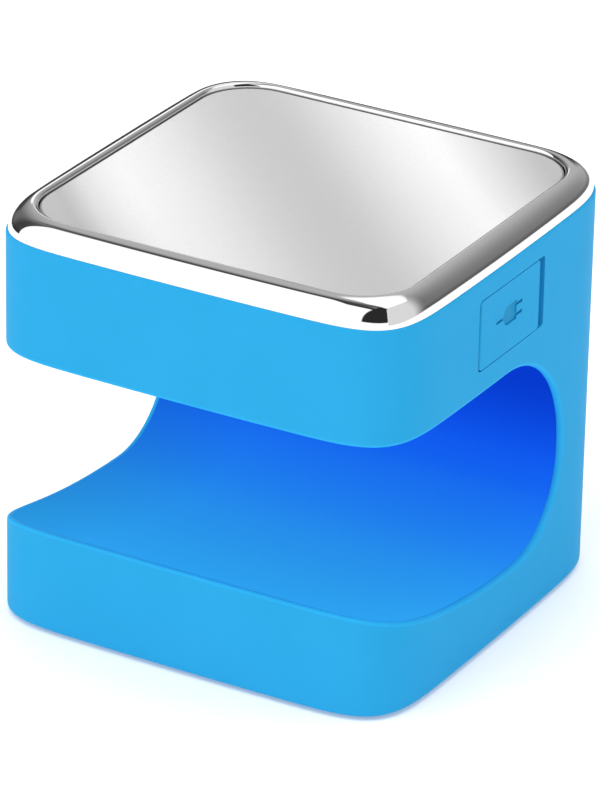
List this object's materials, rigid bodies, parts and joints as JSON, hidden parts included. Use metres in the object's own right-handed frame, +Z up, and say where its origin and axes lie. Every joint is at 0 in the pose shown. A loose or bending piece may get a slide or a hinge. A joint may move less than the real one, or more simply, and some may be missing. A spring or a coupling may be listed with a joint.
{
  "type": "toothbrush light dock",
  "caption": "Cordless C-shaped light dock for a toothbrush head: blue slotted cube with a chrome-rimmed press top and a splash-proof charging port.",
  "frame": {"origin": "centre of the base, on the plane that the feet stand on", "axes": "+Z up; the slot's mouth faces -Y, the closed spine +Y; the charging port faces +X"},
  "size_m": [0.068, 0.067, 0.064],
  "materials": {
    "shell": "smooth light blue moulding, soft satin",
    "door": "same moulding as the shell",
    "cover": "same plastic as the shell, fine texture",
    "liner": "smooth deep blue, lighter towards the mouth",
    "chrome": "bright chrome plating",
    "satin_metal": "fine satin grain",
    "window": "clear",
    "lamp": "lamp bodies with a yellow cap",
    "white_plastic": "natural white plastic",
    "black_plastic": "black plastic",
    "white_board": "white lacquered board",
    "board": "green lacquered board",
    "board_part": "dark moulded parts",
    "cell_foil": "silver pouch foil",
    "lead": "insulated wire",
    "steel": "plain bright steel",
    "soft_black": "soft black rubber",
    "door_seal": "soft blue rubber",
    "foot_rubber": "matt rubber"
  },
  "bodies": {
    "base": {"housing": "shell", "channel_liner": "liner", "lamp_window": "window", "window_gasket": "soft_black", "light_board": "white_board", "lamps": "lamp", "light_board_screws": "steel", "board_link": "black_plastic", "main_board": "board", "board_parts": "board_part", "main_board_screws": "steel", "switch_body": "black_plastic", "usb_socket": "steel", "usb_tongue": "black_plastic", "port_box": "shell", "door_pin": "steel", "battery_cell": "cell_foil", "cell_board": "board", "battery_tape": "soft_black", "battery_plug": "white_plastic", "battery_leads": "lead", "deck": "white_plastic", "deck_gasket": "soft_black", "deck_screws": "steel", "rod_seal": "soft_black", "return_springs": "steel", "bezel": "chrome", "bottom_cover": "cover", "cover_gasket": "soft_black", "cover_screws": "steel", "feet": "foot_rubber"},
    "top_button": {"top_plate": "satin_metal", "plate_carrier": "black_plastic", "leg_screws": "steel"},
    "switch_button": {"switch_plunger": "white_plastic"},
    "door": {"port_door": "door", "door_seal": "door_seal"}
  },
  "joints": [
    {"name": "top_press", "type": "slide", "parent": "base", "child": "top_button", "axis": [0, 0, -1], "range_m": [0, 0.0006], "stiffness_N_per_m": 1500, "springref_m": -0.001, "deforming": ["return_springs"]},
    {"name": "switch_press", "type": "slide", "parent": "base", "child": "switch_button", "axis": [0, 0, -1], "range_m": [0, 0.0006]},
    {"name": "port_door_hinge", "type": "hinge", "parent": "base", "child": "door", "pos_m": [0.0332, -0.0083, 0.052], "axis": [0, 0, -1], "range_deg": [0, 90]}
  ],
  "couplings": [
    {"joint": "switch_press", "follows": "top_press", "ratio": 1}
  ]
}
